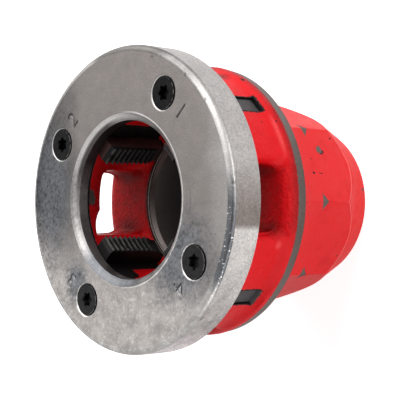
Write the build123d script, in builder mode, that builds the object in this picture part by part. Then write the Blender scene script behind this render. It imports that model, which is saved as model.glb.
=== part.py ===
"""Pipe threading die head for 1 1/2 inch taper pipe threads, 11 threads to the inch.

A cast body carries four thread-cutting dies in slots in its four lugs. A cover plate, held by four
countersunk screws, closes the slots. The pipe goes in through the guide bore of the eight-sided shank.

Millimetres. The head stands on the end of its shank: the pipe's axis is Z, z = 0 is the shank's end and
the cover plate is on top. A window opens towards +X, and a die stands 45 degrees from it.
"""

import os
from math import cos, radians, sin, sqrt, tan

from build123d import *

os.makedirs("parts", exist_ok=True)

# Shank: eight flats, a turned tail cone and a snap groove across the corners
shank_sides = 8
shank_across_corners = 76.4
shank_corner_round = 0.8
shank_length = 55.7
cone_length = 14.6
cone_large_diameter = 71.5
cone_end_diameter = 59.4
corner_run_out = 4.9
groove_height = 33.2
groove_depth = 1.1
groove_slope = 27.0

# Flange: a turned land at the back, then the rim as it was cast
flange_thickness = 8.3
land_diameter = 97.8
land_width = 3.9
rim_diameter = 98.8
rim_width = 1.9

# Lugs, with feet that spread over the flange. A foot's ramp starts on the window's sill.
lug_count = 4
lug_diameter = 94.2
lug_inner_diameter = 59.2
lug_edge_round = 2.5
lug_foot_rise = 2.4
lug_foot_start = 3.0
lug_foot_ramp = 5.0

# Windows between the lugs. A window reaches further on one side of its middle, away from the
# screw, and there the front ring above it is relieved in a flat arc. Its sill is round.
window_reach_at_screw = 11.4
window_reach_beyond = 13.0
window_height = 18.9
window_corner_radius = 3.0
window_sill_round = 5.2
ring_relief_start = 3.6
ring_relief_depth = 3.3

# Front ring, turned outside as a spigot for the cover plate
front_ring_thickness = 7.1
spigot_diameter = 93.0
spigot_chamfer = 0.6

# Guide bore for the pipe, with a short land behind the dies and a relief between
guide_diameter = 49.2
guide_length = 22.0
guide_chamfer = 2.0
relief_diameter = 50.4
inner_land_diameter = 48.9
inner_land_length = 3.9
inner_land_groove_width = 0.5
inner_land_groove_depth = 0.4
inner_land_groove_setback = 0.9

# Cover plate
plate_diameter = 108.0
plate_rim_round = 2.2
plate_bore_diameter = 55.6
plate_bore_chamfer_width = 2.6
plate_bore_chamfer_depth = 2.1
plate_back_round = 0.3
web_thickness = 6.0
skirt_depth = 7.0
skirt_clearance = 0.05
skirt_foot_gap = 0.3

# Dies
die_thickness = 7.0
die_side_clearance = 0.05
die_end_play = 0.05
die_back_clearance = 0.06
slot_sink = 0.3
die_back_chamfer = 0.4
die_edge_chamfer = 0.4
die_nose_chamfer = 0.9
die_nose_relief = 2.3
throat_length = 6.6
throat_rise = 2.6

# Thread cut by the dies: 55 degree form on a taper of 1 in 16 across the diameter
thread_pitch = 25.4 / 11
thread_minor_diameter = 44.845
thread_gauge_depth = 12.0
thread_depth = 0.640327 * thread_pitch
thread_flank_angle = 27.5
thread_flat = (thread_pitch - 2 * thread_depth * tan(radians(thread_flank_angle))) / 2
thread_taper = 1 / 16
first_tooth_depth = 2.15

# Cover screws, countersunk, with a six-lobe recess
screw_count = 4
screw_circle_diameter = 82.6
screw_offset_angle = 15.5
screw_diameter = 6.0
screw_length = 20.0
screw_tip_chamfer = 0.7
screw_head_diameter = 11.6
screw_head_angle = 90
screw_head_land = 0.25
screw_head_recess = 0.5
screw_hole_clearance = 0.05
screw_plate_clearance = 0.25
screw_hole_spare_depth = 2.0
drive_lobe_count = 6
drive_lobe_circle_diameter = 4.3
drive_lobe_radius = 0.65
drive_core_diameter = 4.3
drive_depth = 2.2

# Heights that follow, from the shank's end upwards
land_top = shank_length + land_width
rim_top = land_top + rim_width
flange_top = shank_length + flange_thickness
window_top = flange_top + window_height
body_top = window_top + front_ring_thickness
plate_top = body_top + web_thickness
plate_bottom = body_top - skirt_depth
lug_top = plate_bottom - skirt_foot_gap
foot_top = flange_top + lug_foot_rise
slot_floor = flange_top - slot_sink

# Places that follow
lug_angle = 360 / lug_count
first_die_angle = lug_angle / 2
slot_width = die_thickness + 2 * die_side_clearance
skirt_bore_radius = spigot_diameter / 2 + skirt_clearance
die_back = sqrt((skirt_bore_radius - die_back_clearance) ** 2 - (die_thickness / 2) ** 2)
die_top = body_top - die_end_play
die_bottom = slot_floor
sill_start = rim_diameter / 2 - window_sill_round
sill_drop = flange_top - land_top
sill_end = sill_start + sqrt(window_sill_round**2 - (window_sill_round - sill_drop) ** 2)
window_width = window_reach_beyond + window_reach_at_screw
window_middle = (window_reach_beyond - window_reach_at_screw) / 2
screw_top = plate_top - screw_head_recess + screw_head_land
screw_angle = first_die_angle + screw_offset_angle
countersink_radius = screw_head_diameter / 2 + screw_head_recess
die_blank_radius = thread_minor_diameter / 2 - thread_depth
clear_of_part = plate_diameter


def thread_crest_radius(height):
    """Radius of the dies' crests at a height: larger towards the shank, where the pipe goes in."""
    gauge_height = body_top - thread_gauge_depth
    return thread_minor_diameter / 2 + (gauge_height - height) * thread_taper / 2


def facing_out(angle):
    """Plane on the pipe's axis that looks outwards at an angle, with the head's height as its Y."""
    out = Vector(cos(radians(angle)), sin(radians(angle)), 0)
    along = Vector(-sin(radians(angle)), cos(radians(angle)), 0)
    return Plane(origin=(0, 0, 0), x_dir=along, z_dir=out)


def distance_from_axis(shape):
    """How far the middle of an edge, or a corner, lies from the pipe's axis."""
    return round(shape.center().cross(Vector(0, 0, 1)).length, 3)


def beside(angle):
    """Plane through the pipe's axis at an angle, with the distance from the axis as its X."""
    out = Vector(cos(radians(angle)), sin(radians(angle)), 0)
    along = Vector(-sin(radians(angle)), cos(radians(angle)), 0)
    return Plane(origin=(0, 0, 0), x_dir=out, z_dir=-along)


# Feet of the lugs: a hollow curve down to the flange's rim, which ends in ramps at the windows
with BuildPart() as lug_feet:
    with BuildSketch(Plane.XZ):
        with BuildLine():
            cove = TangentArc(
                (lug_diameter / 2, foot_top),
                (rim_diameter / 2, rim_top),
                tangent=(0, -1),
            )
            Polyline(
                cove @ 1,
                (rim_diameter / 2, land_top),
                (lug_inner_diameter / 2, land_top),
                (lug_inner_diameter / 2, foot_top),
                cove @ 0,
            )
        make_face()
    revolve(axis=Axis.Z)
    for window in range(lug_count):
        with BuildSketch(facing_out(window * lug_angle)):
            Polygon(
                (lug_foot_start - window_reach_at_screw, land_top),
                (window_reach_beyond - lug_foot_start, land_top),
                (window_reach_beyond + lug_foot_ramp, foot_top),
                (-window_reach_at_screw - lug_foot_ramp, foot_top),
                align=None,
            )
    extrude(amount=clear_of_part, mode=Mode.SUBTRACT)


# Body: shank, flange, lugs and front ring in one casting, machined inside and at the land
with BuildPart() as head_body:
    # Shank: an eight-sided bar whose corners run out into a turned tail cone
    with BuildSketch():
        RegularPolygon(shank_across_corners / 2, shank_sides)
        fillet(vertices(), shank_corner_round)
    extrude(amount=land_top)
    with BuildSketch(Plane.XZ):
        Polygon(
            (0, 0),
            (cone_end_diameter / 2, 0),
            (cone_large_diameter / 2, cone_length),
            (shank_across_corners / 2, cone_length + corner_run_out),
            (shank_across_corners / 2, land_top),
            (0, land_top),
            align=None,
        )
    revolve(axis=Axis.Z, mode=Mode.INTERSECT)

    # Snap groove: it only meets the corners, with a straight shoulder towards the flange
    with BuildSketch(Plane.XZ):
        groove_bottom = shank_across_corners / 2 - groove_depth
        groove_run = 2 * groove_depth
        Polygon(
            (groove_bottom, groove_height),
            (groove_bottom + groove_run, groove_height),
            (groove_bottom + groove_run, groove_height - groove_run / tan(radians(groove_slope))),
            align=None,
        )
    revolve(axis=Axis.Z, mode=Mode.SUBTRACT)

    # Flange, with its turned land and a round edge under the windows
    with BuildSketch(Plane.XZ):
        with BuildLine():
            sill = TangentArc((sill_start, flange_top), (sill_end, land_top), tangent=(1, 0))
            Polyline(
                sill @ 1,
                (land_diameter / 2, land_top),
                (land_diameter / 2, shank_length),
                (0, shank_length),
                (0, flange_top),
                sill @ 0,
            )
        make_face()
    revolve(axis=Axis.Z)

    # Lugs with soft cast edges, and their feet
    with BuildSketch(Plane.XY.offset(land_top)):
        Circle(lug_diameter / 2)
        with PolarLocations(0, lug_count):
            with Locations((clear_of_part / 2, window_middle)):
                Rectangle(clear_of_part, window_width, mode=Mode.SUBTRACT)
        fillet(vertices().group_by(distance_from_axis)[-1], lug_edge_round)
    extrude(amount=lug_top - land_top)
    add(lug_feet.part)

    # Front ring over the windows, turned outside as a spigot for the cover plate. Between the lugs
    # its lower edge stands back, behind their soft edges.
    with BuildSketch(Plane.XZ):
        ring_bottom = window_top - window_corner_radius
        Polygon(
            (0, ring_bottom),
            (spigot_diameter / 2 - lug_edge_round, ring_bottom),
            (spigot_diameter / 2 - lug_edge_round, lug_top),
            (spigot_diameter / 2, lug_top),
            (spigot_diameter / 2, body_top - spigot_chamfer),
            (spigot_diameter / 2 - spigot_chamfer, body_top),
            (0, body_top),
            align=None,
        )
    revolve(axis=Axis.Z)

    # Everything that is bored or turned inside, from the pipe's mouth up to the cover
    with BuildSketch(Plane.XZ):
        inner_land_bottom = flange_top - inner_land_length
        groove_top = flange_top - inner_land_groove_setback
        groove_low = groove_top - inner_land_groove_width
        Polygon(
            (0, 0),
            (guide_diameter / 2 + guide_chamfer, 0),
            (guide_diameter / 2, guide_chamfer),
            (guide_diameter / 2, guide_length),
            (relief_diameter / 2, guide_length + (relief_diameter - guide_diameter) / 2),
            (relief_diameter / 2, inner_land_bottom),
            (inner_land_diameter / 2, inner_land_bottom),
            (inner_land_diameter / 2, groove_low),
            (inner_land_diameter / 2 + inner_land_groove_depth, groove_low),
            (inner_land_diameter / 2 + inner_land_groove_depth, groove_top),
            (inner_land_diameter / 2, groove_top),
            (inner_land_diameter / 2, flange_top),
            (lug_inner_diameter / 2, flange_top),
            (lug_inner_diameter / 2, body_top),
            (0, body_top),
            align=None,
        )
    revolve(axis=Axis.Z, mode=Mode.SUBTRACT)

    # Windows for chips and oil between the lugs
    for window in range(lug_count):
        with BuildSketch(facing_out(window * lug_angle)):
            with BuildLine():
                relief = TangentArc(
                    (window_reach_beyond, window_top + ring_relief_depth),
                    (ring_relief_start, window_top),
                    tangent=(-1, 0),
                )
                Polyline(
                    relief @ 1,
                    (-window_reach_at_screw, window_top),
                    (-window_reach_at_screw, flange_top),
                    (window_reach_beyond, flange_top),
                    relief @ 0,
                )
            make_face()
            fillet(vertices().group_by(Axis.X)[0].sort_by(Axis.Y)[-1], window_corner_radius)
        extrude(amount=clear_of_part, mode=Mode.SUBTRACT)

    # Slots for the dies, open at the front and at the back of each lug
    for lug in range(lug_count):
        with BuildSketch(facing_out(first_die_angle + lug * lug_angle)):
            with Locations((0, (slot_floor + body_top) / 2)):
                Rectangle(slot_width, body_top - slot_floor)
        extrude(amount=clear_of_part, mode=Mode.SUBTRACT)

    # Screw holes beside the slots
    with Locations(Plane.XY.offset(body_top)):
        with PolarLocations(screw_circle_diameter / 2, screw_count, start_angle=screw_angle):
            Hole(
                screw_diameter / 2 + screw_hole_clearance,
                depth=screw_length - (screw_top - body_top) + screw_hole_spare_depth,
            )

head_body.part.label = "head_body"
export_step(head_body.part, "parts/head_body.step")


# Cover plate: a ring with a skirt that fits over the body's spigot and holds the dies in
with BuildPart() as cover_plate:
    with BuildSketch(Plane.XZ):
        with BuildLine():
            rim = RadiusArc(
                (plate_diameter / 2 - plate_rim_round, plate_top),
                (plate_diameter / 2, plate_top - plate_rim_round),
                plate_rim_round,
            )
            back = RadiusArc(
                (plate_diameter / 2, plate_bottom + plate_back_round),
                (plate_diameter / 2 - plate_back_round, plate_bottom),
                plate_back_round,
            )
            Line(rim @ 1, back @ 0)
            Polyline(
                back @ 1,
                (skirt_bore_radius, plate_bottom),
                (skirt_bore_radius, body_top),
                (plate_bore_diameter / 2, body_top),
                (plate_bore_diameter / 2, plate_top - plate_bore_chamfer_depth),
                (plate_bore_diameter / 2 + plate_bore_chamfer_width, plate_top),
                rim @ 0,
            )
        make_face()
    revolve(axis=Axis.Z)
    with Locations(Plane.XY.offset(plate_top)):
        with PolarLocations(screw_circle_diameter / 2, screw_count, start_angle=screw_angle):
            CounterSinkHole(
                radius=screw_diameter / 2 + screw_plate_clearance,
                counter_sink_radius=countersink_radius,
                counter_sink_angle=screw_head_angle,
            )

cover_plate.part.label = "cover_plate"
export_step(cover_plate.part, "parts/cover_plate.step")


# Dies: flat blanks whose inner ends are cut by the form of the thread that they make
for lug in range(lug_count):
    die_angle = first_die_angle + lug * lug_angle
    with BuildPart() as die:
        with BuildSketch(beside(die_angle)):
            Polygon(
                (die_blank_radius, die_bottom),
                (die_back - die_back_chamfer, die_bottom),
                (die_back, die_bottom + die_back_chamfer),
                (die_back, die_top),
                (die_blank_radius, die_top),
                align=None,
            )
        extrude(amount=die_thickness / 2, both=True)

        # The pipe's thread, one groove-and-ridge outline about the pipe's axis
        groove_mouth = thread_pitch - thread_flat
        first_tip = body_top - first_tooth_depth + thread_pitch * lug / lug_count
        outline = [(0, die_top), (thread_crest_radius(die_top), die_top)]
        tooth_count = int((die_top - die_bottom) / thread_pitch) + 1
        for tooth in range(tooth_count):
            middle = first_tip - (tooth + 0.5) * thread_pitch
            low = middle - groove_mouth / 2
            high = middle + groove_mouth / 2
            if die_bottom < low and high < die_top:
                root = thread_crest_radius(middle) + thread_depth
                outline.append((thread_crest_radius(high), high))
                outline.append((root, middle + thread_flat / 2))
                outline.append((root, middle - thread_flat / 2))
                outline.append((thread_crest_radius(low), low))
        outline += [(thread_crest_radius(die_bottom), die_bottom), (0, die_bottom)]
        throat_top = die_bottom + throat_length
        nose_low = die_top - die_nose_chamfer
        with BuildSketch(Plane.XZ):
            Polygon(*outline, align=None)
            Polygon(
                (0, die_bottom),
                (thread_crest_radius(die_bottom) + throat_rise, die_bottom),
                (thread_crest_radius(throat_top), throat_top),
                (0, throat_top),
                align=None,
            )
            Polygon(
                (0, nose_low),
                (thread_crest_radius(nose_low), nose_low),
                (thread_crest_radius(die_top) + die_nose_relief, die_top),
                (0, die_top),
                align=None,
            )
        revolve(axis=Axis.Z, mode=Mode.SUBTRACT)
        back_edges = die.faces().sort_by(Axis((0, 0, 0), beside(die_angle).x_dir))[-1].edges()
        chamfer(back_edges.filter_by(Axis.Z), die_edge_chamfer)

    die.part.label = f"die_{lug + 1}"
    export_step(die.part, f"parts/die_{lug + 1}.step")


# Cover screws: one is turned, then set round the plate
with BuildPart() as screw:
    with BuildSketch(Plane.XZ):
        shank_top = screw_top - screw_head_land - (screw_head_diameter - screw_diameter) / 2
        screw_tip = screw_top - screw_length
        Polygon(
            (0, screw_top),
            (screw_head_diameter / 2, screw_top),
            (screw_head_diameter / 2, screw_top - screw_head_land),
            (screw_diameter / 2, shank_top),
            (screw_diameter / 2, screw_tip + screw_tip_chamfer),
            (screw_diameter / 2 - screw_tip_chamfer, screw_tip),
            (0, screw_tip),
            align=None,
        )
    revolve(axis=Axis.Z)
    with BuildSketch(Plane.XY.offset(screw_top)):
        Circle(drive_core_diameter / 2)
        with PolarLocations(drive_lobe_circle_diameter / 2, drive_lobe_count):
            Circle(drive_lobe_radius)
    extrude(amount=-drive_depth, mode=Mode.SUBTRACT)

with BuildPart() as cover_screws:
    with PolarLocations(screw_circle_diameter / 2, screw_count, start_angle=screw_angle):
        add(screw.part)

cover_screws.part.label = "cover_screws"
export_step(cover_screws.part, "parts/cover_screws.step")
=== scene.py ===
"""Finishes for the pipe threading die head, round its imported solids.

The head stands on the end of its shank, so the pipe's axis is Z and the cover plate is on top.
Meshes are in metres, and materials in millimetres. The dies stand at 45 degrees between X and Y.
"""

from math import cos, pi, radians, sin

import bmesh
import bpy
from mathutils import Matrix, Vector


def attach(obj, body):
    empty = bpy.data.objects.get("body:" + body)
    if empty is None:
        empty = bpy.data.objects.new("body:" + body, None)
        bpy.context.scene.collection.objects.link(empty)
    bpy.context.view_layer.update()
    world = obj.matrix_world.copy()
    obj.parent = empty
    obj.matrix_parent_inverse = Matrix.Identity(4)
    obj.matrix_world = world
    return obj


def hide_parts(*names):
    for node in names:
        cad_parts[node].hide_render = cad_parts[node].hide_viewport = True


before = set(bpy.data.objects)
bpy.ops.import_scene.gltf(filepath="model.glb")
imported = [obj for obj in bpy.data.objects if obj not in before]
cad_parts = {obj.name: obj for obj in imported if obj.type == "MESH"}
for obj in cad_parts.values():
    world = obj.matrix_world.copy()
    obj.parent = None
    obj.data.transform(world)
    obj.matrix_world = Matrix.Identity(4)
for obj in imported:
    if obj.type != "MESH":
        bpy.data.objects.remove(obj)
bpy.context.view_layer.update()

# Camera. It looks at the plate from the window on the X side, with the head's Y axis upright
# in the picture, as if the head lay on a table with its shank to the right.
camera_data = bpy.data.cameras.new("camera")
camera_data.lens = 108.05
camera_data.sensor_width = 36
camera_data.clip_end = 10
camera = bpy.data.objects.new("camera", camera_data)
camera.location = (0.3225, -0.00283, 0.36290)
camera.rotation_mode = "YXZ"
camera.rotation_euler = (radians(0.59), radians(46.73), 0)
bpy.context.scene.collection.objects.link(camera)
bpy.context.scene.camera = camera
bpy.context.scene.view_settings.view_transform = "Standard"


# Studio. A pale floor in a white room, with one large soft lamp over the picture's top edge, a low
# one at its right and a weaker one below. The stand behind the camera only shows in bare metal.
def connect(tree, node, inputs):
    """Links a node's inputs to sockets, or sets them to values."""
    for socket, value in inputs.items():
        if isinstance(value, bpy.types.NodeSocket):
            tree.links.new(value, node.inputs[socket])
        else:
            node.inputs[socket].default_value = value


def place(tree, kind, inputs=None, **settings):
    """Adds one shader node, with its settings and its inputs."""
    made = tree.nodes.new("ShaderNode" + kind)
    for name, value in settings.items():
        setattr(made, name, value)
    connect(tree, made, inputs or {})
    return made


def maths(tree, operation, first, second=0.0, third=0.0):
    """The result of one Math node."""
    return place(tree, "Math", {0: first, 1: second, 2: third}, operation=operation).outputs[0]


def both(tree, first, *others):
    """Where all of several masks are set."""
    for mask in others:
        first = maths(tree, "MULTIPLY", first, mask)
    return first


def either(tree, first, *others):
    """Where any of several masks is set."""
    for mask in others:
        first = maths(tree, "MAXIMUM", first, mask)
    return first


def faint(tree, mask, share):
    """A mask that is only set by a share."""
    return maths(tree, "MULTIPLY", mask, share)


def ramp(tree, value, low, high):
    """0 where a value is at low, 1 where it is at high, and even in between."""
    return place(tree, "MapRange", {"Value": value, "From Min": low, "From Max": high}).outputs[0]


def blend(tree, mask, low, high):
    """One colour where a mask is 0 and another where it is 1."""
    mixer = place(tree, "Mix", {0: mask, 6: low, 7: high}, data_type="RGBA")
    return mixer.outputs[2]


room_light = 0.04
white = (1, 1, 1, 1)
stand_grey = (0.06, 0.07, 0.085, 1)
stand_direction = Vector((0.86, -0.32, 0.40))
stand_edge = 0.82
stand_middle = 0.92
world = bpy.data.worlds.new("studio")
bpy.context.scene.world = world
world.use_nodes = True
tree = world.node_tree
path = place(tree, "LightPath")
mirrored = path.outputs["Is Glossy Ray"]
seen = either(tree, path.outputs["Is Camera Ray"], path.outputs["Is Transmission Ray"], mirrored)
direction = place(tree, "TexCoord").outputs["Generated"]
towards = place(tree, "VectorMath", {0: direction, 1: stand_direction}, operation="DOT_PRODUCT")
stand = both(tree, ramp(tree, towards.outputs["Value"], stand_edge, stand_middle), mirrored)
strength = place(tree, "MapRange", {"Value": seen, "To Min": room_light}).outputs[0]
room = {"Color": blend(tree, stand, white, stand_grey), "Strength": strength}
connect(tree, tree.nodes["Background"], room)

floor_half_width = 4
floor_glow = 0.84
floor_in_mirrors = 0.475
floor_solid = bmesh.new()
bmesh.ops.create_grid(floor_solid, x_segments=1, y_segments=1, size=floor_half_width)
floor_mesh = bpy.data.meshes.new("floor")
floor_solid.to_mesh(floor_mesh)
floor = bpy.data.objects.new("floor", floor_mesh)
bpy.context.scene.collection.objects.link(floor)
floor_white = bpy.data.materials.new("floor_white")
floor_white.use_nodes = True
tree = floor_white.node_tree
path = place(tree, "LightPath")
mirrored = faint(tree, path.outputs["Is Glossy Ray"], floor_in_mirrors)
seen = either(tree, path.outputs["Is Camera Ray"], path.outputs["Is Transmission Ray"], mirrored)
connect(tree, tree.nodes["Principled BSDF"], {
    "Base Color": (0.88, 0.88, 0.88, 1),
    "Roughness": 0.9,
    "Specular IOR Level": 0.0,
    "Emission Color": white,
    "Emission Strength": faint(tree, seen, floor_glow),
})
floor_mesh.materials.append(floor_white)

# Each lamp has its compass angle, height angle, distance, width, height and power.
lamps = {
    "main_lamp": (104, 38, 1.3, 2.0, 1.7, 26.0),
    "right_lamp": (5, 6, 1.4, 2.2, 0.4, 10.5),
    "low_lamp": (-52, 9, 1.3, 0.7, 0.4, 4.1),
}
head_middle = Vector((0, 0, 0.06))
for name, (compass, above, distance, width, height, power) in lamps.items():
    lamp_data = bpy.data.lights.new(name, "AREA")
    lamp_data.shape = "RECTANGLE"
    lamp_data.size = width
    lamp_data.size_y = height
    lamp_data.energy = power
    lamp = bpy.data.objects.new(name, lamp_data)
    level = cos(radians(above))
    outwards = Vector((level * cos(radians(compass)), level * sin(radians(compass)), sin(radians(above))))
    lamp.location = head_middle + distance * outwards
    lamp.rotation_euler = (-outwards).to_track_quat("-Z", "Y").to_euler()
    bpy.context.scene.collection.objects.link(lamp)


# Head body. One iron casting: front ring, four lugs, flange and eight-sided shank, dipped in red
# enamel before the land, the slots, the bore and the snap groove were cut, which left them bare.
def merged_copy(node):
    """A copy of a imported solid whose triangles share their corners, with whole flat faces."""
    solid = bmesh.new()
    solid.from_mesh(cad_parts[node].data)
    bmesh.ops.remove_doubles(solid, verts=solid.verts, dist=0.000005)
    bmesh.ops.dissolve_limit(solid, angle_limit=radians(0.5), verts=solid.verts, edges=solid.edges)
    return solid


def melt(solid, within, spacing, rounds, divisions=8, border=0.0025, retreat=0.0001):
    """Divides a region and its border finely, and smooths the region, less of it in each round."""
    for _ in range(divisions):
        long_edges = [
            edge for edge in solid.edges
            if edge.calc_length() > spacing and within((edge.verts[0].co + edge.verts[1].co) / 2, -border)
        ]
        if not long_edges:
            break
        bmesh.ops.subdivide_edges(solid, edges=long_edges, cuts=1)
        bmesh.ops.triangulate(solid, faces=[face for face in solid.faces if len(face.verts) > 3])
    for turn in range(rounds):
        soft = [corner for corner in solid.verts if within(corner.co, retreat * turn)]
        bmesh.ops.smooth_vert(
            solid, verts=soft, factor=0.5, use_axis_x=True, use_axis_y=True, use_axis_z=True
        )


def put_in_place(name, solid, material, smooth_angle=30):
    """Makes a finished piece of a solid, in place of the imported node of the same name."""
    mesh = bpy.data.meshes.new(name)
    solid.to_mesh(mesh)
    mesh.shade_smooth()
    mesh.set_sharp_from_angle(angle=radians(smooth_angle))
    mesh.materials.append(material)
    piece = bpy.data.objects.new(name + "_finished", mesh)
    bpy.context.scene.collection.objects.link(piece)
    flat_faces = piece.modifiers.new("flat_faces", "WEIGHTED_NORMAL")
    flat_faces.keep_sharp = True
    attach(piece, "root")
    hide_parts(name)


def new_material(name):
    """A material with its node tree and shader, and a point on the piece in millimetres."""
    material = bpy.data.materials.new(name)
    material.use_nodes = True
    tree = material.node_tree
    coordinates = place(tree, "TexCoord").outputs["Object"]
    point = place(tree, "VectorMath", {0: coordinates, "Scale": 1000.0}, operation="SCALE").outputs[0]
    return material, tree, tree.nodes["Principled BSDF"], point


def cylinder_coordinates(tree, point):
    """A point's X, Y and Z, and its distance from the pipe's axis."""
    x, y, z = place(tree, "SeparateXYZ", {0: point}).outputs
    flat = place(tree, "CombineXYZ", {0: x, 1: y}).outputs[0]
    return x, y, z, place(tree, "VectorMath", {0: flat}, operation="LENGTH").outputs["Value"]


def elsewhere(tree, mask):
    """Where a mask isn't set."""
    return maths(tree, "SUBTRACT", 1.0, mask)


def between(tree, value, start, full, still_full, end):
    """1 where a value is from full to still_full, falling to 0 at start and at end."""
    return both(tree, ramp(tree, value, start, full), ramp(tree, value, end, still_full))


def add_shares(tree, total, *shares):
    """A value with shares of others added to it."""
    for value, share in shares:
        total = maths(tree, "MULTIPLY_ADD", value, share, total)
    return total


def paint(tree, under, *coats):
    """A colour with coats laid over it in turn, each given by its mask and its colour."""
    for mask, over in coats:
        under = blend(tree, mask, under, over)
    return under


def noise(tree, point, scale, detail=2.0):
    """Soft random values about 0.5, with a scale in features a millimetre."""
    return place(tree, "TexNoise", {"Vector": point, "Scale": scale, "Detail": detail}).outputs[0]


def wander(tree, point, scale, detail):
    """Soft random values about 0."""
    return maths(tree, "SUBTRACT", noise(tree, point, scale, detail), 0.5)


def emboss(tree, shader, height):
    """Bends a shader's normals by a height in millimetres."""
    bump = place(tree, "Bump", {"Height": height, "Distance": 0.001, "Strength": 1.0})
    connect(tree, shader, {"Normal": bump.outputs[0]})


def new_effect(name, inputs, outputs):
    """An empty shader group with named number and vector sockets, and its two end nodes."""
    group = bpy.data.node_groups.new(name, "ShaderNodeTree")
    for socket, kind in inputs.items():
        group.interface.new_socket(name=socket, in_out="INPUT", socket_type="NodeSocket" + kind)
    for socket in outputs:
        group.interface.new_socket(name=socket, in_out="OUTPUT", socket_type="NodeSocketFloat")
    return group, group.nodes.new("NodeGroupInput").outputs, group.nodes.new("NodeGroupOutput").inputs


def effect(tree, group, inputs):
    """The outputs of a shader group placed in a material."""
    made = tree.nodes.new("ShaderNodeGroup")
    made.node_tree = group
    connect(tree, made, inputs)
    return made.outputs


# A frayed spot of a given size about a point. A soft one fades out over its whole width.
sockets = {"Point": "Vector", "Centre": "Vector", "Size": "Vector", "Fray": "Float", "Softness": "Float"}
spot, given, result = new_effect("spot", sockets, ["Mask"])
offset = place(spot, "VectorMath", {0: given["Point"], 1: given["Centre"]}, operation="SUBTRACT")
shape = place(spot, "VectorMath", {0: offset.outputs[0], 1: given["Size"]}, operation="DIVIDE")
reach = place(spot, "VectorMath", {0: shape.outputs[0]}, operation="LENGTH").outputs["Value"]
reach = add_shares(spot, reach, (wander(spot, given["Point"], 0.9, 4), given["Fray"]))
outside = maths(spot, "ADD", 1.0, given["Softness"])
inside = maths(spot, "SUBTRACT", 1.0, given["Softness"])
spot.links.new(ramp(spot, reach, outside, inside), result["Mask"])


def spots(tree, point, places, fray, softness=0.06):
    """The mask of several spots, each given by its centre and its size."""
    masks = [
        effect(
            tree, spot,
            {"Point": point, "Centre": centre, "Size": size, "Fray": fray, "Softness": softness},
        )["Mask"]
        for centre, size in places.values()
    ]
    return either(tree, *masks)


# Heights, radii and slopes of the body that its finish follows, in millimetres
land_top = 59.6
land_back_radius = 42.0
flange_back = 55.7
flange_top = 64.0
mouth_foot = 60.0
mouth_radius = 24.4
mouth_groove_top = 63.1
slot_half_width = 3.55
slot_floor = 63.7
body_top = 90.0
notch_radius = 37.1
notch_foot = 30.4
notch_top = 33.2
notch_slope = 0.51
across_flats = 70.586
tail_radius = 29.7
cone_length = 14.6
cone_top_radius = 35.75
cone_slope = (cone_top_radius - tail_radius) / cone_length
run_out_slope = 0.5

red_enamel, tree, shader, point = new_material("red_enamel")
x, y, z, radius = cylinder_coordinates(tree, point)
side_x = maths(tree, "ABSOLUTE", x)
side_y = maths(tree, "ABSOLUTE", y)
fray = wander(tree, point, 1.1, 4)
torn_height = add_shares(tree, z, (fray, 0.8))

# Bare land and flange back, with the enamel's torn edge
below_edge = ramp(tree, torn_height, land_top + 0.12, land_top + 0.02)
above_back = ramp(tree, z, flange_back - 0.1, flange_back - 0.05)
land = both(tree, below_edge, above_back, ramp(tree, radius, land_back_radius, land_back_radius + 0.3))

# Bore: a dark wall behind, and a machined land at its mouth with a torn black edge and painted shade in
# its groove
in_bore = both(
    tree, ramp(tree, radius, mouth_radius + 2.0, mouth_radius + 1.8),
    ramp(tree, z, flange_top - 0.03, flange_top - 0.07),
)
mouth = both(tree, in_bore, ramp(tree, z, mouth_foot + 0.1, mouth_foot + 0.15))
mouth_lip = both(tree, mouth, ramp(tree, z, mouth_groove_top - 0.05, mouth_groove_top))
torn_radius = maths(tree, "ADD", fray, radius)
mouth_edge = both(
    tree, ramp(tree, torn_radius, mouth_radius + 0.55, mouth_radius + 0.4),
    ramp(tree, z, flange_top - 0.4, flange_top - 0.3),
)
groove_reach = [mouth_radius + depth for depth in (0.1, 0.2, 0.5, 0.6)]
# Painted shade: the groove in the mouth, drawn near black
groove_shade = both(tree, mouth, between(tree, radius, *groove_reach))
shank_end = ramp(tree, z, 0.05, 0.02)

# Slots: black, torn borders where the cutter broke out, and bare ends under the two lower dies
across = [
    maths(tree, "ABSOLUTE", maths(tree, "MULTIPLY", maths(tree, way, x, y), cos(pi / 4)))
    for way in ("SUBTRACT", "ADD")
]
beside = maths(tree, "SUBTRACT", maths(tree, "MINIMUM", *across), slot_half_width)
lower_slots = both(tree, ramp(tree, y, -10.0, -20.0), ramp(tree, radius, 43.0, 43.5))
below_end = add_shares(tree, maths(tree, "SUBTRACT", slot_floor, z), (lower_slots, 0.4))
from_slot = maths(tree, "MAXIMUM", beside, below_end)
end_heights = [slot_floor + height for height in (-0.08, -0.04, 0.05, 0.1)]
slot_end = both(tree, lower_slots, ramp(tree, beside, 0.03, -0.01), between(tree, z, *end_heights))
torn = add_shares(tree, from_slot, (wander(tree, point, 1.9, 4), 1.9))
slot_border = both(tree, ramp(tree, torn, 0.62, 0.5), ramp(tree, radius, 25.0, 25.3))

# Snap groove with the knocked corners over it, and the front ring
groove = add_shares(tree, notch_radius, (maths(tree, "SUBTRACT", notch_top, z), notch_slope))
from_groove = maths(tree, "ABSOLUTE", maths(tree, "SUBTRACT", radius, groove))
groove_heights = between(tree, z, notch_foot, notch_foot + 0.1, notch_top + 0.05, notch_top + 0.1)
cut = both(tree, ramp(tree, from_groove, 0.09, 0.05), groove_heights)
beyond = maths(tree, "SUBTRACT", radius, notch_radius)
above_cut = maths(tree, "SUBTRACT", beyond, maths(tree, "SUBTRACT", z, notch_top))
knocked = both(tree, ramp(tree, above_cut, -0.05, 0.05), ramp(tree, z, notch_top - 0.1, notch_top))
front = ramp(tree, z, body_top - 0.05, body_top - 0.03)
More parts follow.
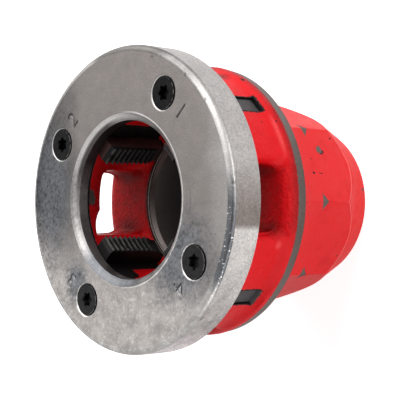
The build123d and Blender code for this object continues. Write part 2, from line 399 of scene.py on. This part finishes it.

# Painted shade inside the ring, in black: a painted shadow along its edge under the plate, beside the
# slots, and all over the top next to them
inner_wall = both(
    tree, ramp(tree, radius, 30.5, 30.2), ramp(tree, z, flange_top + 0.3, flange_top + 0.6)
)
shadow_under_plate = both(tree, inner_wall, ramp(tree, torn_height, body_top - 2.3, body_top - 2.1))
shade_reach = add_shares(tree, torn, (ramp(tree, y, 0.0, 1.0), -4.5))
shade_beside_slots = both(tree, inner_wall, ramp(tree, shade_reach, 4.0, 3.6), ramp(tree, side_y, 20.0, 20.5))
shade_over_slots = both(tree, inner_wall, ramp(tree, torn_height, 78.6, 79.0), ramp(tree, side_y, 19.5, 20.5))
ring_shade = either(tree, shadow_under_plate, shade_beside_slots, shade_over_slots)

# Chips and knocks, each with its place and size
chips = {
    "shank flat": ((30.3, 19.1, 27.8), (1.1, 1.4, 1.5)),
    "tail edge": ((30.4, 4.9, 2.0), (0.9, 0.5, 1.4)),
    "far wall": ((-29.6, 0.8, 87.0), (1.5, 2.9, 2.1)),
}
pits = {
    "shank flat": ((30.6, 18.6, 27.4), (1.1, 1.4, 1.5)),
    "shank nick": ((33.9, 10.4, 34.6), (0.5, 0.45, 0.7)),
    "shank scratch": ((34.0, 10.3, 30.8), (0.2, 0.2, 1.0)),
    "tail nick": ((28.4, 23.7, 19.6), (0.5, 0.4, 0.4)),
    "low nick": ((29.9, -20.1, 16.8), (0.3, 0.3, 0.3)),
    "flat nick": ((31.7, 15.6, 34.0), (0.25, 0.25, 0.4)),
    "flange knock": ((24.1, 43.0, 61.6), (1.3, 0.8, 0.5)),
    "lug scuff": ((38.7, 26.8, 67.0), (0.3, 0.8, 0.2)),
    "foot nick": ((40.5, 27.4, 61.8), (0.2, 0.6, 0.3)),
    "foot speck": ((44.4, 19.3, 62.0), (0.2, 0.2, 0.3)),
}
chip = spots(tree, point, chips, 1.6)
pit = both(tree, spots(tree, point, pits, 1.6), elsewhere(tree, chip))
black = either(tree, slot_border, ring_shade, pit, mouth_edge)
bare = either(tree, black, land, in_bore, shank_end, slot_end, cut, knocked, front, chip)

# A painted highlight: a bright line where the shank's flats meet its tail cone
flats = [
    maths(tree, "MULTIPLY_ADD", side_x, cos(turn), maths(tree, "MULTIPLY", side_y, sin(turn)))
    for turn in (pi / 8, 3 * pi / 8)
]
from_flat = maths(tree, "SUBTRACT", across_flats / 2, maths(tree, "MAXIMUM", *flats))
cone = add_shares(tree, tail_radius, (z, cone_slope))
run_out = add_shares(tree, cone_top_radius, (maths(tree, "SUBTRACT", z, cone_length), run_out_slope))
from_cone = maths(tree, "SUBTRACT", maths(tree, "MAXIMUM", cone, run_out), radius)
from_edge = add_shares(tree, maths(tree, "MAXIMUM", from_flat, from_cone), (fray, 0.2))
cone_edge_highlight = both(tree, ramp(tree, from_edge, 0.16, 0.05), ramp(tree, z, 30.0, 22.0))

# Painted highlight: pale enamel on the foot of the lug beside the window, and at the corner of the one
# below
speckle = noise(tree, point, 3.5, 3)
around = maths(tree, "ARCTAN2", y, x)
upper_foot = both(tree, between(tree, around, 0.30, 0.42, 0.58, 0.68), ramp(tree, radius, 46.0, 47.0))
foot_highlight = both(
    tree, upper_foot, between(tree, z, 61.7, 62.5, 62.8, 63.9), ramp(tree, speckle, 0.30, 0.55)
)
corner_highlight = spots(tree, point, {"low corner": ((44.7, -14.8, 65.1), (1.2, 1.5, 1.1))}, 1.0, 0.5)
painted_highlight = either(tree, foot_highlight, faint(tree, corner_highlight, 0.7))

# Painted shade: thin along the land, thicker in the windows' corners and on the near sill; grime in the
# castings' rough hollows
beside_land = both(
    tree, ramp(tree, torn_height, land_top + 2.9, land_top + 0.6), ramp(tree, z, land_top - 0.2, land_top)
)
from_middle = maths(tree, "MINIMUM", side_x, side_y)
along_window = maths(tree, "MAXIMUM", side_x, side_y)
folded = place(tree, "CombineXYZ", {0: along_window, 1: from_middle, 2: z}).outputs[0]
corner = spots(tree, folded, {"window corner": ((35.0, 10.5, 64.5), (6.5, 3.6, 4.0))}, 0.8, 0.6)
# Painted shade in spots: the plate's shadow on the near sill, a low corner and an upper lug
shade_spots = {
    "near sill": ((30.0, 0.0, 64.0), (8.5, 16.0, 2.0)),
    "low corner": ((40.0, -10.5, 65.0), (5.0, 3.5, 4.0)),
    "upper lug": ((17.0, 44.0, 66.0), (2.6, 2.2, 2.8)),
}
window_shade = either(tree, corner, spots(tree, point, shade_spots, 0.8, 0.6))
on_sill = both(tree, between(tree, z, 59.7, 60.5, 65.0, 67.0), ramp(tree, from_middle, 13.0, 10.5))
hollows = both(tree, ramp(tree, noise(tree, point, 0.45, 7), 0.47, 0.66), on_sill)
patchy = maths(tree, "MULTIPLY_ADD", speckle, 1.1, 0.2)
# Painted shade along the land, patchy, except low down
band = both(tree, beside_land, patchy, ramp(tree, y, -16.0, -6.0))
# Painted shade on the sill by the bore's mouth
shade_by_mouth = both(tree, ramp(tree, radius, 26.8, 25.2), between(tree, z, 63.9, 63.95, 64.5, 65.0))
shade_and_grime = either(
    tree, faint(tree, window_shade, 0.95), band, faint(tree, hollows, 0.36), faint(tree, shade_by_mouth, 0.7)
)
near_land = ramp(tree, torn_height, land_top + 1.1, land_top + 0.2)
specks = both(tree, ramp(tree, speckle, 0.58, 0.63), beside_land, near_land)

# Enamel: deep on the tail, warmer on the shank, cooler on the lugs, with smoky clouds all over
smoke = ramp(tree, noise(tree, point, 0.12, 4), 0.55, 0.75)
enamel = paint(
    tree, (0.84, 0.003, 0.004, 1),
    (ramp(tree, z, 11.0, 16.0), (0.83, 0.022, 0.026, 1)),
    (ramp(tree, z, 55.0, 62.0), (0.80, 0.005, 0.010, 1)),
    (faint(tree, smoke, 0.35), (0.58, 0.004, 0.007, 1)),
    (cone_edge_highlight, (0.95, 0.19, 0.18, 1)),
    (painted_highlight, (0.93, 0.085, 0.09, 1)),
    (shade_and_grime, (0.26, 0.001, 0.002, 1)),
    (specks, (0.05, 0.003, 0.004, 1)),
)

# Bare iron: speckled, dim in the bore, a painted highlight low in its mouth, and black at torn edges,
# pits and painted shade
dim_bore = blend(tree, ramp(tree, z, 59.0, 46.0), (0.165, 0.146, 0.135, 1), (0.07, 0.064, 0.063, 1))
# Painted highlight: the mouth lighter low down
lighter_below = maths(tree, "POWER", ramp(tree, y, 5.0, -13.0), 2.0)
worn_mouth = paint(
    tree, (0.13, 0.10, 0.09, 1),
    (lighter_below, (1.0, 0.93, 0.88, 1)),
    (ramp(tree, y, 6.0, 15.0), (0.30, 0.24, 0.22, 1)),
)
iron = paint(
    tree, (0.09, 0.075, 0.067, 1),
    (ramp(tree, speckle, 0.35, 0.65), (0.19, 0.165, 0.147, 1)),
    # Painted light: the land lighter at its top and bottom
    (both(tree, land, ramp(tree, side_y, 12.0, 30.0)), (0.185, 0.171, 0.158, 1)),
    (in_bore, dim_bore),
    (mouth, worn_mouth),
    (faint(tree, mouth_lip, 0.5), (0.62, 0.53, 0.48, 1)),
    (groove_shade, (0.02, 0.017, 0.016, 1)),
    (black, (0.008, 0.007, 0.007, 1)),
    (slot_end, (0.30, 0.285, 0.29, 1)),
)
metal = maths(tree, "MULTIPLY_ADD", black, -0.6, 0.7)
glaze = maths(tree, "MULTIPLY_ADD", noise(tree, point, 0.34, 3), 0.2, 0.34)
connect(tree, shader, {
    "Base Color": blend(tree, bare, enamel, iron),
    "Metallic": both(tree, bare, metal),
    "Specular IOR Level": 0.18,
    "Roughness": add_shares(tree, glaze, (bare, 0.1)),
})

# Relief: orange peel all over, coarser on the sills and feet, and chips that go through the enamel
peel = both(tree, noise(tree, point, 1.0, 4), maths(tree, "MULTIPLY_ADD", on_sill, 0.4, 0.22))
grain = noise(tree, point, 2.2, 4)
emboss(tree, shader, add_shares(tree, peel, (grain, 0.14), (bare, -0.10), (cone_edge_highlight, 0.05)))

# Soft cast forms, in metres: how near the land, how high, and how near the axis and the slots
hollow_foot = 0.0007
hollow_top = 0.0685
hollow_reach = 0.0322
slot_margin = 0.0055


def cast_hollow(corner, inset):
    """The feet of the lugs and the sills between them, away from the slots, the bore and the land."""
    from_slot = min(abs(corner.x - corner.y), abs(corner.x + corner.y)) * cos(pi / 4)
    from_land = corner.z - land_top / 1000
    low = from_land > hollow_foot and corner.z < hollow_top - inset
    return low and corner.xy.length > hollow_reach + inset and from_slot > slot_margin


body_solid = merged_copy("head_body")
melt(body_solid, cast_hollow, spacing=0.0009, rounds=16)
put_in_place("head_body", body_solid, red_enamel, smooth_angle=19)


# Cover plate. A die-cast alloy ring with a skirt, turned at its rim, bore and seats. Four screws
# hold it on the body, over the dies, and plain recessed numbers say which die stands where.
def soften(solid, width, segments, sharpness=25):
    """Rounds the outward edges of a solid that are sharper than an angle in degrees."""
    edges = [
        edge for edge in solid.edges
        if edge.is_manifold and edge.calc_face_angle_signed() > radians(sharpness)
    ]
    bmesh.ops.bevel(
        solid, geom=edges, offset=width, segments=segments, profile=0.5, affect="EDGES", material=-1
    )


plate_top = 0.096
number_depth = 0.0005
number_height = 0.0062
number_circle = 0.0385
figure_to_text_size = 0.7
plate_solid = merged_copy("cover_plate")
soften(plate_solid, width=0.00018, segments=2)
top_faces = [
    face for face in plate_solid.faces
    if face.normal.z > 0.9999 and face.calc_center_median().z > plate_top - 0.00001
]
bmesh.ops.delete(plate_solid, geom=top_faces, context="FACES")
outlines = [edge for edge in plate_solid.edges if edge.is_boundary]

# Each number is a sunk floor with walls up to the plate's top, which is filled again round them
for number in range(4):
    text_data = bpy.data.curves.new(f"number_{number + 1}", "FONT")
    text_data.body = str(number + 1)
    text_data.size = number_height / figure_to_text_size
    text_data.resolution_u = 3
    text_data.align_x = "CENTER"
    text = bpy.data.objects.new(f"number_{number + 1}", text_data)
    number_mesh = bpy.data.meshes.new_from_object(text)
    bpy.data.objects.remove(text)
    turned = Matrix.Rotation(number * pi / 2 - pi / 4, 4, "Z")
    number_mesh.transform(turned @ Matrix.Translation((0, number_circle, plate_top - number_depth)))
    old_edges = set(plate_solid.edges)
    plate_solid.from_mesh(number_mesh)
    corners = {corner for edge in plate_solid.edges if edge not in old_edges for corner in edge.verts}
    bmesh.ops.remove_doubles(plate_solid, verts=list(corners), dist=0.000005)
    rims = [edge for edge in plate_solid.edges if edge not in old_edges and edge.is_boundary]
    walls = bmesh.ops.extrude_edge_only(plate_solid, edges=rims)["geom"]
    upper = [item for item in walls if isinstance(item, bmesh.types.BMVert)]
    bmesh.ops.translate(plate_solid, verts=upper, vec=(0, 0, number_depth))
    outlines += [item for item in walls if isinstance(item, bmesh.types.BMEdge) and item.is_boundary]

bmesh.ops.triangle_fill(
    plate_solid, edges=outlines, use_beauty=True, use_dissolve=False, normal=(0, 0, 1)
)
bmesh.ops.recalc_face_normals(plate_solid, faces=plate_solid.faces)

# Heights and radii of the plate that its finish follows, in millimetres
plate_face = 96.0
outer_radius = 54.0
rim_inside = 51.6
rim_foot = 94.0
chamfer_outside = 30.4
chamfer_foot = 93.9
bore_radius = 28.0
screw_circle = 41.3
screw_angles = (60.5, 150.5, 240.5, 330.5)
seat_radius = 6.7

cast_alloy, tree, shader, point = new_material("cast_alloy")
x, y, z, radius = cylinder_coordinates(tree, point)
around = maths(tree, "ARCTAN2", y, x)

# Large tones, a painted reflection: pale below, dark and bluish at the left, warm grey elsewhere
drift = faint(tree, wander(tree, point, 0.07, 3), 26.0)
lower = ramp(tree, add_shares(tree, drift, (y, -0.985), (x, -0.17)), 12.0, 32.0)
right = ramp(tree, add_shares(tree, x, (y, 0.1), (drift, 0.5)), 41.0, 52.0)
left = ramp(tree, add_shares(tree, drift, (y, -0.06), (x, -0.99)), 20.0, 50.0)
clouds = {
    "low right": ((29.0, -19.0, plate_face), (15.0, 13.0, 6.0)),
    "left": ((-41.0, 2.0, plate_face), (9.0, 19.0, 6.0)),
    "low left": ((-26.0, -30.0, plate_face), (6.0, 6.5, 6.0)),
}
cloud = spots(tree, point, clouds, 1.1, 0.45)

# Mottling, strongest on the pale part, and small bluish flecks in the clouds
mottle = wander(tree, point, 0.22, 5)
unevenness = maths(tree, "MULTIPLY_ADD", either(tree, lower, cloud), 0.8, 0.4)
grain = wander(tree, point, 2.2, 4)
patchy = noise(tree, point, 0.8, 4)
clouded = either(tree, cloud, left)
dark_fleck = both(tree, ramp(tree, patchy, 0.53, 0.63), clouded)
pale_fleck = both(tree, ramp(tree, patchy, 0.44, 0.36), either(tree, clouded, lower))
# Darker at the left middle, more of the painted reflection
left_middle = both(tree, left, ramp(tree, y, -25.0, -10.0))

# Turned places: the rim's round, and the bore's wall and wide chamfer, with lathe rings
rim = both(
    tree, ramp(tree, radius, rim_inside, rim_inside + 0.3),
    ramp(tree, z, rim_foot, rim_foot + 0.15),
)
chamfer = both(
    tree, ramp(tree, radius, chamfer_outside, chamfer_outside - 0.1),
    ramp(tree, z, chamfer_foot - 0.05, chamfer_foot + 0.05),
)
bore = both(
    tree, ramp(tree, radius, bore_radius, bore_radius - 0.05),
    ramp(tree, z, chamfer_foot + 0.05, chamfer_foot - 0.05),
)
turned_place = either(tree, rim, chamfer)
along_turning = place(tree, "CombineXYZ", {2: maths(tree, "SUBTRACT", radius, z)}).outputs[0]
rings = wander(tree, along_turning, 1.9, 2)
bright = maths(tree, "MULTIPLY_ADD", rings, 2.4, 0.75)
inner_lip = ramp(tree, radius, bore_radius + 0.7, bore_radius + 0.4)
outer_lip = ramp(tree, radius, chamfer_outside - 0.9, chamfer_outside - 0.5)
chamfer_lips = both(tree, chamfer, either(tree, outer_lip, inner_lip))

# Painted light on the turned places: dark reflections with glints, and painted highlights and shade
dark_reflection_places = {
    "rim low right": ((50.5, -14.0, plate_face), (7.5, 20.0, 6.0)),
    "rim top": ((4.0, 53.0, plate_face), (28.0, 5.0, 6.0)),
    "chamfer low": ((-9.0, -28.0, 94.0), (19.0, 13.0, 6.0)),
}
# Painted dark reflections on the rim and the chamfer
dark_reflection = both(tree, turned_place, spots(tree, point, dark_reflection_places, 0.3, 0.25))
dark_reflection_rings = maths(tree, "MULTIPLY_ADD", rings, 0.6, 0.92)
dark_reflection_tone = blend(tree, ramp(tree, y, 10.0, 30.0), (0.105, 0.109, 0.12, 1), (0.122, 0.113, 0.105, 1))
# Painted shade over the rim's highlight at its upper right
rim_shade_place = {"rim upper right": ((26.0, 44.5, 95.5), (14.0, 8.0, 6.0))}
rim_shade = both(tree, rim, spots(tree, point, rim_shade_place, 0.3, 0.4))
# Painted glints in the dark reflection low on the rim
glint_scatter = ramp(tree, noise(tree, point, 1.1, 6), 0.62, 0.65)
glints = both(tree, rim, dark_reflection, glint_scatter, ramp(tree, y, 0.0, -3.0))
# Painted highlight on the chamfer's upper left
chamfer_highlight = both(
    tree, chamfer, ramp(tree, radius, chamfer_outside - 1.4, chamfer_outside - 1.0),
    ramp(tree, y, 4.0, 14.0), ramp(tree, x, 4.0, -6.0),
)
# Painted shade on the chamfer's inside at the upper left
chamfer_shade = both(
    tree, chamfer, ramp(tree, radius, bore_radius + 1.2, bore_radius + 0.7),
    ramp(tree, y, 0.0, 10.0), ramp(tree, x, -5.0, -11.0),
)
# Painted glint along the bore's edge on the window's side
edge_reach = [chamfer_outside + distance for distance in (-0.15, -0.05, 0.35, 0.55)]
edge_glint = both(
    tree, between(tree, radius, *edge_reach), ramp(tree, x, -2.0, 8.0),
    ramp(tree, z, plate_face - 0.3, plate_face - 0.25),
)
# Painted shade: the bore dark at its top, lighter lower down
bore_shade = paint(
    tree, (0.045, 0.037, 0.036, 1),
    (ramp(tree, y, 14.0, 2.0), (0.28, 0.27, 0.272, 1)),
    (ramp(tree, y, -4.0, -14.0), (0.17, 0.158, 0.156, 1)),
)

# Cast wall of the skirt, paler below as a painted reflection, with sand marks and a darker brown
# patch beside the window, which is crisp on one side and soft on the other
wall = both(
    tree, ramp(tree, radius, outer_radius - 0.4, outer_radius - 0.3),
    ramp(tree, z, rim_foot + 0.1, rim_foot),
)
cast_wall = paint(
    tree, (0.44, 0.42, 0.41, 1),
    (ramp(tree, around, -0.15, -0.18), (0.62, 0.595, 0.575, 1)),
    (ramp(tree, around, -0.45, -0.8), (0.42, 0.39, 0.38, 1)),
    (ramp(tree, around, -0.9, -1.1), (0.60, 0.545, 0.545, 1)),
)
sand_marks = both(tree, wall, wander(tree, point, 1.2, 6))
dark_patch = both(tree, wall, between(tree, around, -0.18, -0.145, -0.06, 0.26))


def round_screws(tree, point, reach, softness, shift=0.0):
    """The mask of a circle about each screw's middle, or shifted from it away from the window."""
    circles = {
        angle: (
            (screw_circle * cos(radians(angle)) - shift, screw_circle * sin(radians(angle)), plate_face),
            (reach, reach, 9.0),
        )
        for angle in screw_angles
    }
    return spots(tree, point, circles, 0.0, softness)


# Sunk places: the screws' bright seats and the darker numbers, and then the dents
sunk = both(
    tree, ramp(tree, z, plate_face - 0.1, plate_face - 0.2), between(tree, radius, 31.0, 31.2, 51.2, 51.4)
)
seat = both(tree, sunk, round_screws(tree, point, seat_radius, 0.06))
marked = both(tree, sunk, elsewhere(tree, seat), ramp(tree, z, plate_face - 0.8, plate_face - 0.7))
dents = {
    "rim top": ((14.7, 48.5, plate_face), (0.9, 0.5, 0.5)),
    "rim upper": ((31.2, 41.1, 95.9), (0.6, 0.8, 0.5)),
    "rim right": ((40.8, 32.3, 95.8), (0.5, 0.7, 0.5)),
    "edge": ((53.2, 5.3, 95.0), (0.5, 0.8, 0.8)),
    "edge low": ((53.0, -6.4, 95.2), (0.4, 1.0, 0.5)),
    "scratch": ((34.3, -1.4, plate_face), (0.18, 4.2, 0.3)),
    "wall knock": ((37.4, -38.9, 93.4), (1.2, 1.2, 0.5)),
}
dent = spots(tree, point, dents, 1.4)

# Colours, and their tone, which the mottling and the marks make lighter or darker
alloy = paint(
    tree, (0.212, 0.192, 0.183, 1),
    (left, (0.052, 0.055, 0.062, 1)),
    (right, (0.31, 0.293, 0.283, 1)),
    (lower, (0.41, 0.383, 0.366, 1)),
    (faint(tree, cloud, 0.85), (0.135, 0.142, 0.157, 1)),
    (both(tree, turned_place, bright), (0.45, 0.435, 0.42, 1)),
    (faint(tree, chamfer_lips, 0.8), (0.24, 0.23, 0.225, 1)),
    (both(tree, dark_reflection, dark_reflection_rings), dark_reflection_tone),
    (glints, (0.72, 0.72, 0.73, 1)),
    (faint(tree, chamfer_highlight, 0.7), (0.66, 0.64, 0.625, 1)),
    (faint(tree, chamfer_shade, 0.85), (0.05, 0.042, 0.04, 1)),
    (bore, bore_shade),
    (faint(tree, edge_glint, 0.8), (0.62, 0.60, 0.585, 1)),
    (wall, cast_wall),
    (faint(tree, dark_patch, 0.9), (0.21, 0.178, 0.162, 1)),
    (seat, (0.62, 0.60, 0.585, 1)),
    (faint(tree, dent, 0.6), (0.12, 0.11, 0.105, 1)),
)
tone = maths(tree, "MULTIPLY_ADD", mottle, unevenness, maths(tree, "MULTIPLY_ADD", grain, 0.75, 1.0))
tone = add_shares(
    tree, tone,
    (left_middle, -0.24),
    (dark_fleck, -0.36),
    (pale_fleck, 0.28),
    (rim_shade, -0.45),
    (sand_marks, 0.9),
    (marked, -0.35),
)
rough = maths(tree, "MULTIPLY_ADD", mottle, 0.3, 0.46)
connect(tree, shader, {
    "Base Color": place(tree, "VectorMath", {0: alloy, "Scale": tone}, operation="SCALE").outputs[0],
    "Metallic": 0.9,
    "Roughness": add_shares(tree, rough, (turned_place, -0.10)),
})

# Relief: blasted grain, long ripples where it is turned, and the dents
ripple = both(tree, noise(tree, point, 0.55, 2), faint(tree, turned_place, 0.08))
emboss(tree, shader, add_shares(tree, ripple, (grain, 0.06), (dent, -0.15)))
put_in_place("cover_plate", plate_solid, cast_alloy)


# Dies. Four hardened steel thread-cutting dies, ground on their flats and left dark from the
# furnace, with worn crests. The cover plate clamps them on the slots' floors.
crest_radius = 22.4
dark_steel, tree, shader, point = new_material("dark_steel")
_, y, _, radius = cylinder_coordinates(tree, point)
tarnish = noise(tree, point, 0.6, 4)

# Scaled outside, oiled black inside, stained brown behind the upper teeth, and worn at the crests
stained = both(tree, between(tree, radius, 24.1, 24.3, 29.3, 29.8), ramp(tree, y, 0.0, 5.0))
crests = both(
    tree, ramp(tree, radius, crest_radius + 0.5, crest_radius + 0.2), ramp(tree, tarnish, 0.35, 0.55)
)
steel = paint(
    tree, (0.060, 0.058, 0.060, 1),
    (ramp(tree, tarnish, 0.4, 0.65), (0.085, 0.082, 0.085, 1)),
    (ramp(tree, radius, 36.0, 30.0), (0.009, 0.008, 0.008, 1)),
    (stained, (0.07, 0.034, 0.031, 1)),
    (crests, (0.06, 0.057, 0.055, 1)),
)
connect(tree, shader, {
    "Base Color": steel,
    "Metallic": 0.3,
    "Specular IOR Level": 0.12,
    "Roughness": maths(tree, "MULTIPLY_ADD", tarnish, 0.2, 0.32),
})
emboss(tree, shader, faint(tree, noise(tree, point, 3.5, 4), 0.03))
for number in range(1, 5):
    die_solid = merged_copy(f"die_{number}")
    soften(die_solid, width=0.00008, segments=1, sharpness=20)
    put_in_place(f"die_{number}", die_solid, dark_steel)


# Cover screws. Four black oxide countersunk steel screws with six-lobe recesses. They go through
# the plate into the lugs and clamp the plate over the dies.
head_face = 95.75
head_radius = 5.8
head_softness = 0.015
black_oxide, tree, shader, point = new_material("black_oxide")
_, y, z, _ = cylinder_coordinates(tree, point)
tarnish = noise(tree, point, 0.8, 4)
patchy = ramp(tree, tarnish, 0.4, 0.65)
# Darker on the upper screws, lighter on the lower ones
upper_oxide = blend(tree, patchy, (0.004, 0.004, 0.005, 1), (0.012, 0.0115, 0.012, 1))
lighter_below = blend(tree, patchy, (0.021, 0.0205, 0.021, 1), (0.034, 0.033, 0.033, 1))

# A painted shadow at the window's side of each head, with a painted highlight line along it
on_head = ramp(tree, z, head_face - 0.25, head_face - 0.15)
flat_part = round_screws(tree, point, head_radius - 0.2, head_softness, shift=0.45)
inside_line = round_screws(tree, point, head_radius - 0.25, head_softness, shift=0.7)
shadowed = both(tree, on_head, elsewhere(tree, flat_part))
head_edge_highlight = both(
    tree, on_head, flat_part, elsewhere(tree, inside_line), ramp(tree, tarnish, 0.38, 0.56)
)
oxide = paint(
    tree, upper_oxide,
    (ramp(tree, y, 10.0, -10.0), lighter_below),
    (head_edge_highlight, (0.21, 0.195, 0.187, 1)),
    (shadowed, (0.002, 0.002, 0.002, 1)),
)
connect(tree, shader, {
    "Base Color": oxide,
    "Metallic": maths(tree, "MULTIPLY_ADD", shadowed, 0.7, 0.3),
    "Specular IOR Level": 0.08,
    "Roughness": maths(tree, "MULTIPLY_ADD", tarnish, 0.2, 0.28),
})
emboss(tree, shader, faint(tree, noise(tree, point, 3.0, 4), 0.03))
screw_solid = merged_copy("cover_screws")
soften(screw_solid, width=0.00012, segments=2)
put_in_place("cover_screws", screw_solid, black_oxide)
